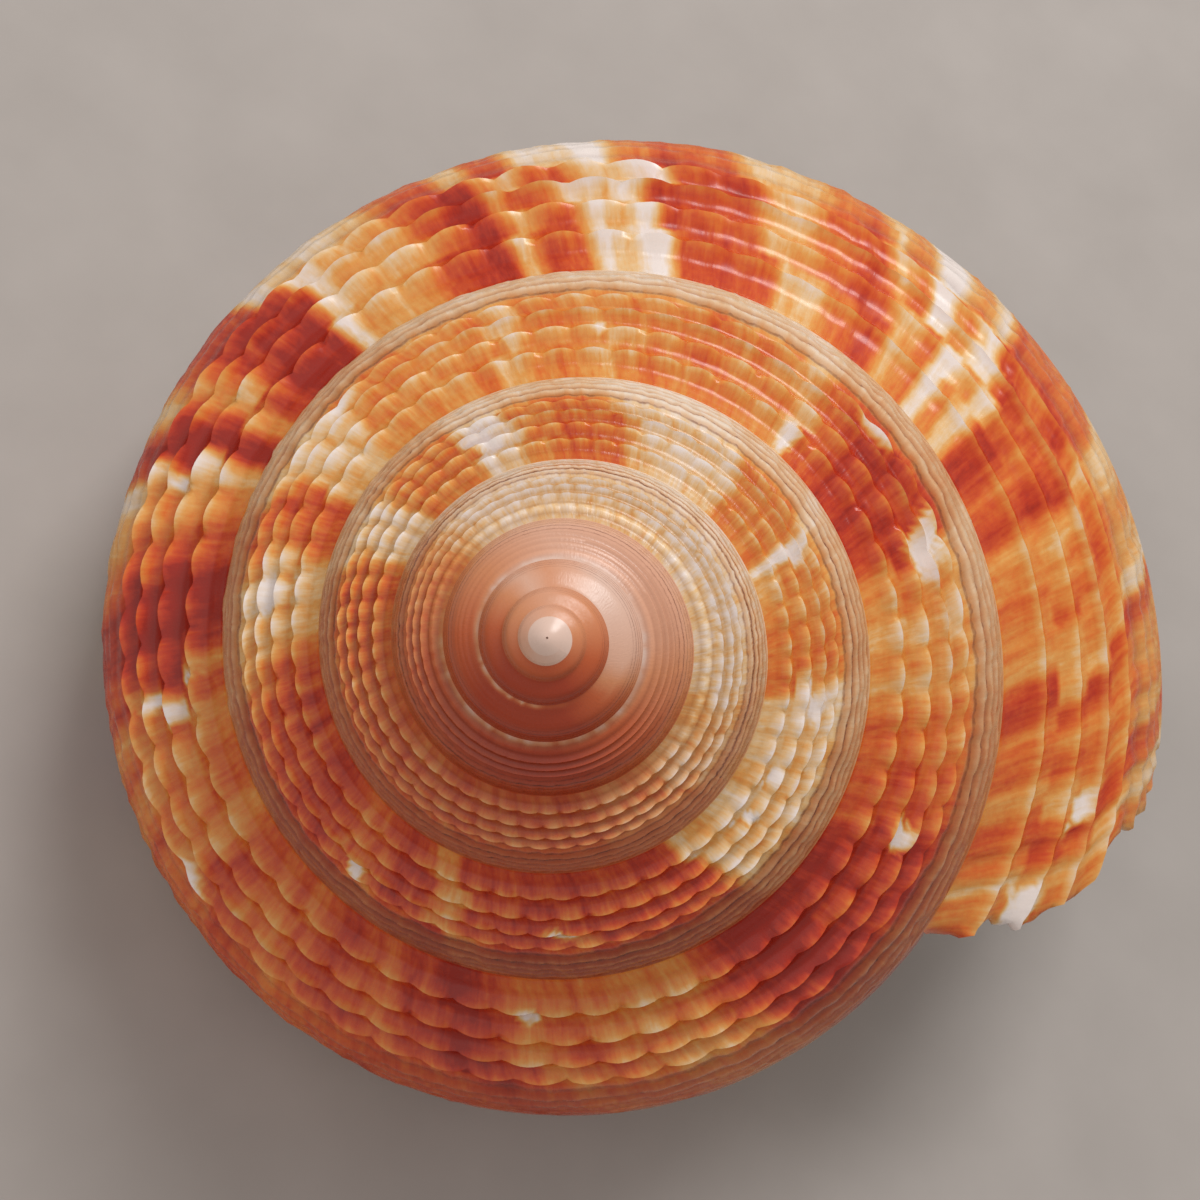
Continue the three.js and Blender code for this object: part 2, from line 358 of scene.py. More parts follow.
def beaded_share(growth):
    """1 where the cords carry beads."""
    return (1 - smooth(*BEADS_FADE, growth)) * smooth(*BEADS_BEGIN, growth)


def relief(growth, station):
    """Height of the surface above the plain section, in whorl radii."""
    line = grain(growth, station)
    ridged = smooth(*RIDGES_BEGIN, growth)
    thin = smooth(*BEADS_FADE, growth)
    on_cord = cord_share(station)
    on_ramp = smooth(SHOULDER_STATION, CORD_VALLEYS[-1], station)
    slimmer = (on_cord - on_cord ** CORD_SLIMNESS) * on_ramp
    cords = cord_height(station) - (CREST_LIFT - VALLEY_LIFT) * slimmer
    thin_cord = THIN_CORD_LIFT * on_cord ** 6 - THIN_CORD_SINK
    height = ridged * (cords * (1 - thin) + thin_cord * thin)
    bead = bead_shape(line)
    height += on_cord ** (3 - bead) * (bead - BEAD_MIDDLE) * BEAD_LIFT * beaded_share(growth)
    wall = smooth(0.69, 0.72, station) * smooth(SEAM_STATION, 0.98, station)
    wall *= ridged * (0.8 + 0.2 * smooth(-180, -270, growth))
    threads = np.cos(2 * np.pi * thread_count(station))
    crinkle = wander(line / 1.7 + np.floor(thread_count(station)) * 31, 13)
    height += wall * (THREAD_LIFT * threads + CRINKLE_LIFT * crinkle)
    base = smooth(1.04, 1.12, station) * smooth(1.84, 1.7, station)
    base_cords = np.cos(2 * np.pi * BASE_CORDS * (station - SEAM_STATION) / BASE_CORDS_RUN)
    height += base * BASE_CORD_LIFT * base_cords
    fine = wander(line / 1.9, 11) + 0.6 * wander(line / 0.9, 12)
    height += GROWTH_LINE_LIFT * (1 + 2 * thin + base) * fine * ridged
    off_seams = smooth(0, 0.03, station) * smooth(0, 0.03, np.abs(station - SEAM_STATION))
    return height * off_seams * smooth(AXIS_STATION, 1.86, station)


print("cords stand", round((CREST_LIFT - VALLEY_LIFT) * LIP_R, 2), "mm high at the lip")

# %% [markdown]
# One function gives a point of the outside for any growth angle and station. The tube widens and
# deepens by a fixed factor in each turn, which is what makes a shell keep its shape as it grows.
# The lip's edge is a little ragged, as it is where it chipped. The inner wall is the same surface
# moved in by the wall's thickness, and the roof of the opening is the whorl before.

# %% Points of the shell
WHORLS = 8.0
MIDDLE_DEPTH = 1.3
BULGE_STARTS = (-2900, -2350)
SWEEP_RUN = 126.0
RAGGED_DEG, RAGGED_RUN = 1.1, 14.0
LIP_WALL, INNER_WALL, WALL_RUN = 0.8, 1.6, 45.0
ROOF_END = 0.16
PARIETAL_TOP, COLUMELLA_EDGE = 1.06, 1.85
COLUMELLA_SWELL = 0.5


def outside(growth, station, rise=0.0):
    """Points of the outside in mm, raised along the section's normal."""
    wide = LIP_R * WIDTH_GROWTH ** (growth / 360)
    deep = LIP_R * DEPTH_GROWTH ** (growth / 360)
    point, outward = section(station)
    straight = UPPER_SEAM + (LOWER_SEAM - UPPER_SEAM) * station[..., None]
    bulging = np.where(station > SEAM_STATION, 1, smooth(*BULGE_STARTS, growth))[..., None]
    point = straight * (1 - bulging) + point * bulging
    inward = (station - LOWEST_STATION) / (AXIS_STATION - LOWEST_STATION)
    close = np.clip(inward, 0, 1) ** 2
    radius = (wide * point[..., 0] + rise * outward[..., 0]) * (station < AXIS_STATION)
    depth = deep * point[..., 1] * (1 - close) + LIP_R * MIDDLE_DEPTH * close + rise * outward[..., 1]
    turn = np.radians(-growth)
    return np.stack((radius * np.cos(turn), radius * np.sin(turn), -depth), axis=-1)


def swept(growth, station):
    """Growth angle of a mesh column that turns to end along the ragged lip."""
    ragged = RAGGED_DEG * (wander(station * 14, 21) + 0.6 * wander(station * 37, 22))
    ragged *= smooth(0, 0.08, station) * smooth(2.0, 1.8, station)
    lean = sweep(station) * np.maximum(0, 1 + growth / SWEEP_RUN)
    return growth - lean + ragged * np.maximum(0, 1 + growth / RAGGED_RUN)


def carved(growth, station):
    """Points of the outside with its cords and beads."""
    wide = LIP_R * WIDTH_GROWTH ** (growth / 360)
    return outside(growth, station, wide * relief(growth, station))


def outer_point(growth, station):
    """The outside by mesh column."""
    return carved(swept(growth, station), station)


def parietal_point(growth, station):
    """The whorl before, one turn back."""
    return carved(growth - 360, station)


def inner_point(growth, station):
    """The inner wall, which runs into the roof near the upper seam."""
    thickness = LIP_WALL + (INNER_WALL - LIP_WALL) * np.minimum(1, -growth / WALL_RUN)
    free = np.maximum(station, ROOF_END)
    wall = outside(swept(growth, free), free, -thickness)
    roof = parietal_point(growth, np.full_like(station, PARIETAL_TOP))
    share = np.minimum(1, station / ROOF_END)[..., None]
    return roof * (1 - share) + wall * share


def columella_point(growth, share):
    """The pillar between the inner wall and the whorl before, swollen at half height."""
    edge = np.full_like(growth, COLUMELLA_EDGE)
    weight = share[..., None]
    point = inner_point(growth, edge) * (1 - weight) + parietal_point(growth, edge) * weight
    swell = 1 + COLUMELLA_SWELL * share * (1 - share)
    return point * np.stack((swell, swell, np.ones_like(swell)), axis=-1)


LEAN = math.radians(24.6)
RAISED_SIDE = math.radians(83)
TURN = math.radians(-3.3)
SPIRAL_TOP = (-3.475, -17.698, 43.628)
BLUNT = 0.45
lean_axis = Vector((math.sin(RAISED_SIDE), -math.cos(RAISED_SIDE), 0))
POSE = np.array(Matrix.Rotation(TURN, 3, "Z") @ Matrix.Rotation(LEAN, 3, lean_axis))


def rested(points):
    """Points in the pose that the shell rests in, in metres, with a blunt tip and a flat rest."""
    depth = np.hypot(points[..., 2], BLUNT)
    placed = (np.stack((points[..., 0], points[..., 1], -depth), axis=-1) @ POSE.T + SPIRAL_TOP) * MM
    placed[..., 2] = np.maximum(0, placed[..., 2])
    return placed


tip_height = rested(outside(np.array([-360 * WHORLS]), np.array([0.0])))[0, 2]
print("the first whorl starts", round(tip_height / MM, 1), "mm above the ground")

# %% [markdown]
# The flames are the snail's own marks: red, orange and yellow blocks along the whorl with white
# breaks between them. They come from one number, called heat, that runs from white at 0 through
# yellow and orange to deep red at 1. It is written down as a list of blocks along the growth angle,
# counted back from the lip, and each cord shifts its blocks a little, as the cords of the shell do.
# The oldest whorls have soft bands in place of blocks, and single white spots come on top.
# The heat is raised on the side of the shell turned away from the key lamp and lowered a little on
# the side facing it, which is painted shade and painted light. The bands of the oldest whorls also
# rise once a turn on that side, partly as their own colour and partly as painted shade.
# Painting with formulas is chosen because it needs no picture and fits the grain of the shell.

# %% Heat of the flames
WHITE, CREAM, PALE = 0.04, 0.2, 0.28
YELLOW, AMBER, ORANGE = 0.37, 0.46, 0.56
RUST, RED, DEEP = 0.68, 0.84, 0.98
# Where each block starts, and its heat.
FLAMES = [
    (-1119, CREAM), (-1099, PALE), (-1066, AMBER), (-1040, ORANGE), (-979, ORANGE), (-930, ORANGE),
    (-913, CREAM), (-897, ORANGE), (-874, CREAM), (-861, ORANGE), (-851, RUST), (-833, AMBER),
    (-829, PALE), (-803, ORANGE), (-783, CREAM), (-779, AMBER), (-765, ORANGE), (-750, CREAM),
    (-738, PALE), (-724, CREAM), (-716, PALE), (-709, CREAM), (-701, RUST), (-685, RUST),
    (-671, ORANGE), (-666, RUST), (-655, RUST), (-647, YELLOW), (-640, RUST), (-629, ORANGE),
    (-617, RUST), (-587, ORANGE), (-580, PALE), (-564, PALE), (-561, ORANGE), (-555, RUST),
    (-547, PALE), (-540, PALE), (-533, AMBER), (-529, ORANGE), (-515, AMBER), (-510, ORANGE),
    (-503, YELLOW), (-498, ORANGE), (-484, AMBER), (-479, ORANGE), (-466, RUST), (-459, ORANGE),
    (-447, YELLOW), (-443, RUST), (-437, RED), (-413, AMBER), (-405, YELLOW), (-399, AMBER),
    (-394, YELLOW), (-390, ORANGE), (-380, RUST), (-369, RED), (-349, DEEP), (-342, RED),
    (-336, RUST), (-332, AMBER), (-326, YELLOW), (-320, AMBER), (-314, ORANGE), (-306, AMBER),
    (-302, RUST), (-296, RED), (-290, RUST), (-283, ORANGE), (-277, RUST), (-268, ORANGE),
    (-256, RUST), (-249, AMBER), (-242, ORANGE), (-236, AMBER), (-229, RUST), (-226, YELLOW),
    (-223, RED), (-217, DEEP), (-208, RUST), (-202, AMBER), (-195, PALE), (-193, DEEP),
    (-186, AMBER), (-181, RED), (-176, DEEP), (-166, WHITE), (-163.5, AMBER), (-157, YELLOW),
    (-153, AMBER), (-149, RED), (-145, DEEP), (-140, YELLOW), (-136, RED), (-130, CREAM),
    (-126, YELLOW), (-122.5, WHITE), (-118.5, RED), (-105, YELLOW), (-100, AMBER), (-97, RUST),
    (-93, RED), (-88, YELLOW), (-85, RUST), (-80.5, WHITE), (-79, ORANGE), (-74.5, CREAM),
    (-72.5, RED), (-66, RUST), (-61, RED), (-57, YELLOW), (-54, ORANGE), (-49, RUST),
    (-45, ORANGE), (-40, YELLOW), (-38, RED), (-33, ORANGE), (-29, RUST), (-25, AMBER),
    (-22, RED), (-17, ORANGE), (-14, YELLOW), (-12, RUST), (-8, ORANGE), (-5, RED),
]
FLAME_EDGE = 1.5
FLAME_MIDDLE = 0.35
CORD_SHIFT_DEG, EDGE_SHIFT_DEG = 2.2, 1.2
# Painted shade: heat is added on the side turned away from the key lamp, centred on this growth angle,
# and taken off a little on the side facing it.
SHADE_SIDE_HEAT, SHADE_SIDE_MIDDLE = 0.09, -290
BEAD_SPREAD, STREAK_SPREAD = 0.05, 0.08
# The first two paint light on the beads: paler tops as painted highlight, darker gaps as painted shade,
# and a thin pale crest line that is partly the shell's own colour and partly painted highlight.
BEAD_LIGHT_AND_SHADE, CREST_COLOUR_AND_HIGHLIGHT, THIN_CREST_PALING = 0.08, 0.26, 0.25
LAST_WALL_PALING, BASE_PALING = 0.15, 0.1
# The last of these darkens the wall on the side turned away from the key lamp: painted shade.
WALL_HEAT, WALL_EVENNESS, WALL_SHADE_SIDE_HEAT = 0.31, 0.7, 0.24
SEAM_PALING, SEAM_PALING_SPREAD = 0.55, 0.3
# Painted shade in the gaps between beads and between the wall's threads.
BEAD_GAP_SHADE, WALL_GAP_SHADE = 0.4, 0.4
# Heat of the oldest whorls at some growth angles. It peaks once a turn on the side turned away from
# the key lamp, partly as their own colour and partly as painted shade.
TIP_HEAT_AND_SHADE = [
    (-2880, 0.0), (-2800, 0.05), (-2720, 0.25), (-2600, 0.45), (-2469, 0.7), (-2379, 0.55), (-2289, 0.4),
    (-2199, 0.6), (-2154, 0.75), (-2109, 0.95), (-2064, 0.9), (-2019, 0.75), (-1974, 0.5), (-1951, 0.25),
    (-1929, 0.45), (-1905, 0.3), (-1884, 0.15), (-1820, 0.2), (-1794, 0.6), (-1749, 0.95), (-1704, 0.9),
    (-1659, 0.7), (-1614, 0.5), (-1569, 0.3), (-1479, 0.35), (-1430, 0.65), (-1389, 0.9), (-1344, 0.8),
    (-1299, 0.6), (-1262, 0.5), (-1240, 0.2), (-1190, 0.3), (-1125, 0.2),
]
# Growth angle and station of each spot, and half its size in both.
WHITE_SPOTS = [
    (-11, 0.3, 3.2, 0.07), (-21, 0.42, 2.2, 0.05), (-194.5, 0.4, 1.5, 0.08), (-226, 0.35, 1.8, 0.2),
    (-247, 0.62, 3.0, 0.05), (-304, 0.2, 1.5, 0.06), (-368, 0.4, 2.5, 0.08), (-415, 0.48, 4.5, 0.15),
    (-430, 0.62, 4.0, 0.06), (-444, 0.12, 2.0, 0.12), (-482, 0.35, 1.5, 0.06), (-532, 0.6, 2.5, 0.06),
    (-569, 0.4, 3.5, 0.15), (-622, 0.55, 3.0, 0.06), (-667, 0.5, 2.5, 0.06), (-715, 0.3, 2.0, 0.08),
    (-726, 0.3, 2.0, 0.08), (-746, 0.45, 3.0, 0.15), (-781, 0.3, 2.0, 0.3), (-870, 0.4, 4.0, 0.2),
]


def cord_number(station):
    """Which cord a station is on, counted from the upper seam."""
    return np.searchsorted(CORD_VALLEYS, station)


def flame_heat(growth, station):
    """How red the shell is at a place, from white at 0 to deep red at 1."""
    line = grain(growth, station, FLAME_MIDDLE)
    cord = cord_number(station)
    bead = np.floor(bead_count(grain(growth, station))).astype(int)
    cord_shift = CORD_SHIFT_DEG * wander(cord * 7.3 + line / 31, 31)
    line = line + cord_shift + EDGE_SHIFT_DEG * wander(line / 5 + cord * 3.7, 32)
    knots = TIP_HEAT_AND_SHADE + [(start + FLAME_EDGE, heat) for start, heat in FLAMES]
    knots += [(start - FLAME_EDGE, before) for (start, _), (_, before) in zip(FLAMES[1:], FLAMES)]
    places, heats = zip(*sorted(knots))
    heat = np.interp(line, places, heats)
    # Painted shade and light: redder on the side turned away from the key lamp, a little paler on the
    # side facing it.
    shade_side = np.cos(np.radians(growth - SHADE_SIDE_MIDDLE))
    heat += SHADE_SIDE_HEAT * (0.6 + shade_side) * smooth(-20, -60, growth)
    uneven = BEAD_SPREAD * chance(cord, bead, 33) + STREAK_SPREAD * wander(line / 2.2 + cord * 11, 34)
    heat += smooth(-1500, -1100, growth) * uneven
    on_cord = cord_share(station)
    bead_top = on_cord * bead_shape(grain(growth, station))
    # Painted highlight on the tops of the beads and painted shade in their gaps, then a thin crest line
    # that is partly own colour and partly painted highlight.
    heat -= BEAD_LIGHT_AND_SHADE * (bead_top - 0.6) * beaded_share(growth) * (station < SHOULDER_STATION)
    heat -= CREST_COLOUR_AND_HIGHLIGHT * bead_top * on_cord ** 8 * beaded_share(growth)
    for where, across, half_length, half_width in WHITE_SPOTS:
        away = np.hypot((line - where) / half_length, (station - across) / half_width)
        heat *= smooth(0.5, 1.3, away + 0.25 * wander(line * 1.3 + station * 40, 35))
    heat -= THIN_CREST_PALING * on_cord ** 12 * smooth(-125, -70, growth)
    below_shoulder = smooth(SHOULDER_STATION, 0.76, station)
    heat -= LAST_WALL_PALING * below_shoulder * smooth(-250, -190, growth)
    heat -= BASE_PALING * smooth(SEAM_STATION, 1.1, station)
    on_wall = below_shoulder * smooth(1.1, 0.99, station)
    on_wall *= smooth(-216, -288, growth) * smooth(-1300, -1100, growth)
    # On the wall the heat is evened out and raised on the side turned away from the key lamp, which is
    # painted shade.
    heat += on_wall * (WALL_HEAT - WALL_EVENNESS * heat + WALL_SHADE_SIDE_HEAT * shade_side)
    pale_seam = smooth(0.16, 0.02, station) * smooth(-1780, -1720, growth) * smooth(-1260, -1330, growth)
    return heat * (1 - (SEAM_PALING + SEAM_PALING_SPREAD * wander(line / 4, 36)) * pale_seam)


def groove_shade(growth, station):
    """How much painted shade darkens a place: 1 in the grooves between cords, beads and threads, and 0
    on their crests.
    """
    raised = relief(growth, station)
    on_wall = smooth(0.69, 0.72, station) * smooth(1.06, 1.0, station)
    bead_top = cord_share(station) * bead_shape(grain(growth, station))
    bead_gap = BEAD_GAP_SHADE * smooth(0.7, 0.1, bead_top) * beaded_share(growth)
    ramp_groove = np.maximum(smooth(0.002, -0.012, raised), bead_gap)
    ramp_groove *= 0.4 + 0.6 * smooth(-700, -900, growth)
    return ramp_groove * (1 - on_wall) + WALL_GAP_SHADE * smooth(0.002, -0.008, raised) * on_wall


print(len(FLAMES), "blocks of colour along", round(-FLAMES[0][0] / 360, 1), "turns")

# %% [markdown]
# Each part of the surface starts as a flat primitive grid, and every vertex is then moved to the
# place that the formula gives for its column and row. Neighbouring grids share the points of their
# edges, so they can be welded. UV coordinates and paint values are kept on the face corners,
# because two whorls share the vertices of a seam but not its colours. Every sheet has both finishes
# in its slots, so that the faces keep the right one when the sheets are joined.

# %% One sheet of the surface
lime, lime_tree, lime_shader = new_material("glossy_shell_lime")
pearl, pearl_tree, pearl_shader = new_material("mother_of_pearl")
sheets = []


def make_sheet(name, points, growth, station, pearly):
    """A grid with its vertices moved to rows and columns of points, and its paint values."""
    rows, columns = points.shape[:2]
    bpy.ops.object.select_all(action="DESELECT")
    bpy.ops.mesh.primitive_grid_add(x_subdivisions=columns - 1, y_subdivisions=rows - 1, size=1)
    sheet = bpy.context.object
    sheet.name = name
    mesh = sheet.data
    flat = np.empty(len(mesh.vertices) * 3)
    mesh.vertices.foreach_get("co", flat)
    column = np.rint((flat[0::3] + 0.5) * (columns - 1)).astype(int)
    row = np.rint((flat[1::3] + 0.5) * (rows - 1)).astype(int)
    mesh.vertices.foreach_set("co", rested(points)[row, column].ravel())
    corner = np.empty(len(mesh.loops), int)
    mesh.loops.foreach_get("vertex_index", corner)
    growth, station = growth[row, column], station[row, column]
    maps = {
        "growth_map": (grain(growth, station) / 360, station),
        "paint_map": (flame_heat(growth, station), groove_shade(growth, station)),
    }
    mesh.uv_layers[0].name = "growth_map"
    mesh.uv_layers.new(name="paint_map")
    for key, pair in maps.items():
        mesh.uv_layers[key].data.foreach_set("uv", np.stack(pair, axis=-1)[corner].ravel())
    mesh.materials.append(lime)
    mesh.materials.append(pearl)
    mesh.polygons.foreach_set("material_index", np.full(len(mesh.polygons), int(pearly)))
    sheets.append(sheet)
    print(name, rows - 1, "x", columns - 1, "faces")


print("finishes to fill in later:", lime.name, "and", pearl.name)

# %% [markdown]
# The outside needs the finest grid, with about seven columns to a bead and as many rows to a cord.
# The whorls near the tip are small, so they get half and then a quarter of the rows and columns.
# Where a fine grid meets a coarse one, its odd points are slid onto their neighbours, and the weld
# makes triangles of them. The slit cuts the wall from the lip back, so its band starts behind it.

# %% Outside of the whorls
SLIT_DEG = 54.0
SLIT_TOP, SLIT_BOTTOM = 0.89, 0.96
COLUMELLA_RIM = 1.93
COLUMN_DEG = 0.9
SMALL_COLUMN_DEG = 1.8
TIP_COLUMN_DEG = 3.6
RAMP_ROWS, WALL_ROWS, SLIT_ROWS, LOW_ROWS, BASE_ROWS = 31, 15, 6, 4, 20
ramp_rows = np.linspace(0, SHOULDER_STATION, RAMP_ROWS)
top_rows = np.append(ramp_rows, np.linspace(SHOULDER_STATION, SLIT_TOP, WALL_ROWS)[1:])
slit_rows = np.linspace(SLIT_TOP, SLIT_BOTTOM, SLIT_ROWS)
low_rows = np.linspace(SLIT_BOTTOM, SEAM_STATION, LOW_ROWS)
upper_rows = np.concatenate((top_rows, slit_rows[1:], low_rows[1:]))
base_rows = np.concatenate((
    [SEAM_STATION],
    np.linspace(PARIETAL_TOP, COLUMELLA_EDGE, BASE_ROWS),
    [COLUMELLA_RIM, AXIS_STATION],
))


def columns_between(start, end, step=COLUMN_DEG):
    """Growth angles of the mesh columns from start to end."""
    return np.linspace(start, end, round((end - start) / step) + 1)


def whorl_sheet(name, columns, rows, coarse_start=False, coarse_top=1, coarse_below=1):
    """A sheet of the outside, with edges that can meet a coarser sheet."""
    growth, station = np.meshgrid(columns, rows)
    if coarse_start:
        station[1::2, 0] = station[0:-1:2, 0]
    index = np.arange(len(columns))
    growth[0] = growth[0, index - index % coarse_top]
    growth[1:] = growth[1:, index - index % coarse_below]
    make_sheet(name, outer_point(growth, station), swept(growth, station), station, False)


last_turn = columns_between(-360, 0)
whorl_sheet("last_ramp", last_turn, top_rows)
whorl_sheet("last_slit_band", columns_between(-360, -SLIT_DEG), slit_rows)
whorl_sheet("last_wall", last_turn, low_rows)
whorl_sheet("base", last_turn, base_rows, coarse_below=2)
whorl_sheet("second_whorl", columns_between(-720, -360), upper_rows)
third_turn = columns_between(-1080, -720)
whorl_sheet("third_whorl", third_turn, upper_rows, coarse_start=True, coarse_top=2)
fourth_turn = columns_between(-1440, -1080, SMALL_COLUMN_DEG)
whorl_sheet("fourth_whorl", fourth_turn, upper_rows[::2])
fifth_turn = columns_between(-1800, -1440, SMALL_COLUMN_DEG)
whorl_sheet("fifth_whorl", fifth_turn, upper_rows[::2], coarse_start=True, coarse_top=2)
tip_turns = columns_between(-360 * WHORLS, -1800, TIP_COLUMN_DEG)
whorl_sheet("tip_whorls", tip_turns, upper_rows[::4])

# %% [markdown]
# The hollow has three sides: the inner wall, the pillar in the middle and the whorl before, which is
# its roof. Its grids are fine only along the slit, where they have to meet the outside. The hollow
# ends out of sight, a turn and a quarter behind the lip, because nobody can look further in.

# %% Inside of the last whorl
CAVITY_DEG = 450.0
DEEP_COLUMNS = 88
PILLAR_ROWS, PILLAR_RUN = 5, 0.3
NEARLY = 1e-9
inner_columns = np.concatenate((
    np.linspace(-CAVITY_DEG, -SLIT_DEG, DEEP_COLUMNS + 1)[:-1],
    columns_between(-SLIT_DEG, 0),
))
pillar_shares = np.linspace(0, 1, PILLAR_ROWS)
wall_rows = np.append(upper_rows, base_rows[1:-2])
parietal_rows = base_rows[1:-2]


def inner_sheet(name, columns, rows):
    """A sheet of the inner wall."""
    growth, station = np.meshgrid(columns, rows)
    make_sheet(name, inner_point(growth, station), growth, station, True)


below_slit = wall_rows[wall_rows >= SLIT_BOTTOM - NEARLY]
inner_sheet("inner_ramp", inner_columns, top_rows)
inner_sheet("inner_slit_band", inner_columns[inner_columns <= -SLIT_DEG + NEARLY], slit_rows)
inner_sheet("inner_wall", inner_columns, below_slit)
growth, share = np.meshgrid(inner_columns, pillar_shares)
make_sheet("pillar", columella_point(growth, share), growth, COLUMELLA_EDGE - PILLAR_RUN * share, True)
growth, station = np.meshgrid(inner_columns, parietal_rows)
make_sheet("roof", parietal_point(growth, station), growth - 360, station, True)

# %% [markdown]
# The edge of the lip is rounded, like a worn plate's. Its grid runs from the outside to the inside in
# a few columns that bulge forward. The bulge dies out at the slit and at both ends, where the edge
# meets other sheets. The slit is where the living snail let out the water that it had breathed. Two
# more strips line it, one closes its end, and one fronts the pillar.

# %% Lip, slit and ends
RIM_SHARES = np.linspace(0, 1, 5)
RIM_BULGE, RIM_TAPER = 0.28, 0.03


def rim_sheet(name, rows):
    """The rounded edge of the lip along some rows."""
    share, station = np.meshgrid(RIM_SHARES, rows)
    lip = np.zeros_like(station)
    weight = share[..., None]
    flat = outer_point(lip, station) * (1 - weight) + inner_point(lip, station) * weight
    forward = outer_point(lip, station) - outer_point(lip - 1.0, station)
    forward /= np.linalg.norm(forward, axis=-1, keepdims=True)
    from_ends = np.minimum(station - rows[0], rows[-1] - station)
    bulge = RIM_BULGE * np.sin(np.pi * share) * smooth(0, RIM_TAPER, from_ends)
    if rows[0] == 0:
        # At the seam the middle points slide onto the outer one, and the weld takes them up.
        flat[0, 1:-1] = flat[0, 0]
    points = flat + forward * bulge[..., None]
    make_sheet(name, points, swept(lip, station), station, False)


def between(name, first, second, shares, growth, station, pearly):
    """A sheet stretched straight between two rows of points."""
    weight = shares[:, None, None]
    points = first[None] * (1 - weight) + second[None] * weight
    spread = np.ones((len(shares), 1))
    make_sheet(name, points, spread * growth, spread * station, pearly)


rim_sheet("lip_above_slit", top_rows)
rim_sheet("lip_below_slit", below_slit)
slit_columns = columns_between(-SLIT_DEG, 0)
for name, edge in (("slit_upper_side", SLIT_TOP), ("slit_lower_side", SLIT_BOTTOM)):
    level = np.full_like(slit_columns, edge)
    between(
        name,
        outer_point(slit_columns, level),
        inner_point(slit_columns, level),
        RIM_SHARES,
        swept(slit_columns, level),
        level,
        False,
    )
slit_end = np.full_like(slit_rows, -SLIT_DEG)
between(
    "slit_end",
    outer_point(slit_end, slit_rows),
    inner_point(slit_end, slit_rows),
    RIM_SHARES,
    swept(slit_end, slit_rows),
    slit_rows,
    False,
)
lip_front = np.zeros_like(pillar_shares)
back_growth = np.array((0, 0, 0, -360, -360.0))
back_station = np.array((COLUMELLA_EDGE, COLUMELLA_RIM, AXIS_STATION, COLUMELLA_RIM, COLUMELLA_EDGE))
between(
    "pillar_front",
    columella_point(lip_front, pillar_shares),
    outer_point(back_growth, back_station),
    RIM_SHARES,
    lip_front,
    back_station,
    True,
)

# %% [markdown]
# Two rings are still open: the start of the spiral at the tip and the far end of the hollow. A cap
# is a grid whose last row is all in one point, and the weld makes a fan of it. The tip's cap has a
# few rows more, which make a small dome with a pit in the middle.

# %% Caps
DOME_SHARES = np.array((0, 0.25, 0.5, 0.7, 0.85, 1.0))
PIT_WIDTH, PIT_DEPTH = 0.06, 0.6


def cap_sheet(name, ring, middle, growth, station, pearly):
    """A fan from a ring of points to its middle."""
    centre = np.broadcast_to(middle, ring.shape)
    between(name, ring, centre, np.array((0.0, 1.0)), growth, station, pearly)


first_turn = columns_between(-360 * WHORLS, -360 * (WHORLS - 1), TIP_COLUMN_DEG)
first_step = upper_rows[::4][::-1][1:]
ring_growth = np.append(first_turn, np.full_like(first_step, -360 * WHORLS))
ring_station = np.append(np.zeros_like(first_turn), first_step)
tip_ring = outer_point(ring_growth, ring_station)
oldest = np.full_like(ring_growth, -360 * WHORLS)
between("tip_dome", tip_ring, PIT_WIDTH * tip_ring, DOME_SHARES, oldest, ring_station, False)
pit_floor = np.array((0, 0, -PIT_DEPTH))
cap_sheet("tip_pit", PIT_WIDTH * tip_ring, pit_floor, oldest, ring_station, False)

deep_wall = inner_point(np.full_like(wall_rows, -CAVITY_DEG), wall_rows)
deep_pillar = columella_point(np.full_like(pillar_shares, -CAVITY_DEG), pillar_shares)
deep_roof = parietal_point(np.full_like(parietal_rows, -CAVITY_DEG), parietal_rows)
end_ring = np.concatenate((deep_wall, deep_pillar[1:], deep_roof[::-1][1:]))
end_station = np.full(len(end_ring), 1.0)
cap_sheet("hollow_end", end_ring, end_ring.mean(axis=0), end_station * -CAVITY_DEG, end_station, True)

# %% [markdown]
# The real shell has no seams, so all sheets are joined into one object and welded. The weld distance
# is far below the smallest bead. After the weld the normals are recalculated, and the shading is
# smooth except over sharp edges. Open edges are counted, because a closed body has none.

# %% Weld
WELD = 2e-6
SHARP_DEG = 60

bpy.ops.object.select_all(action="DESELECT")
for sheet in sheets:
    sheet.select_set(True)
bpy.context.view_layer.objects.active = sheets[0]
bpy.ops.object.join()
shell = bpy.context.object
shell.name = "shell_of_lime"
bpy.ops.object.mode_set(mode="EDIT")
bpy.ops.mesh.select_all(action="SELECT")
bpy.ops.mesh.remove_doubles(threshold=WELD)
bpy.ops.mesh.dissolve_degenerate(threshold=WELD / 4)
bpy.ops.mesh.select_all(action="SELECT")
bpy.ops.mesh.normals_make_consistent(inside=False)
bpy.ops.mesh.select_all(action="DESELECT")
bpy.ops.mesh.select_non_manifold()
bpy.ops.object.mode_set(mode="OBJECT")
open_edges = sum(edge.select for edge in shell.data.edges)
bpy.ops.object.shade_smooth_by_angle(angle=math.radians(SHARP_DEG))
triangles = sum(len(face.vertices) - 2 for face in shell.data.polygons)
print("shell:", triangles, "triangles,", open_edges, "open edges")

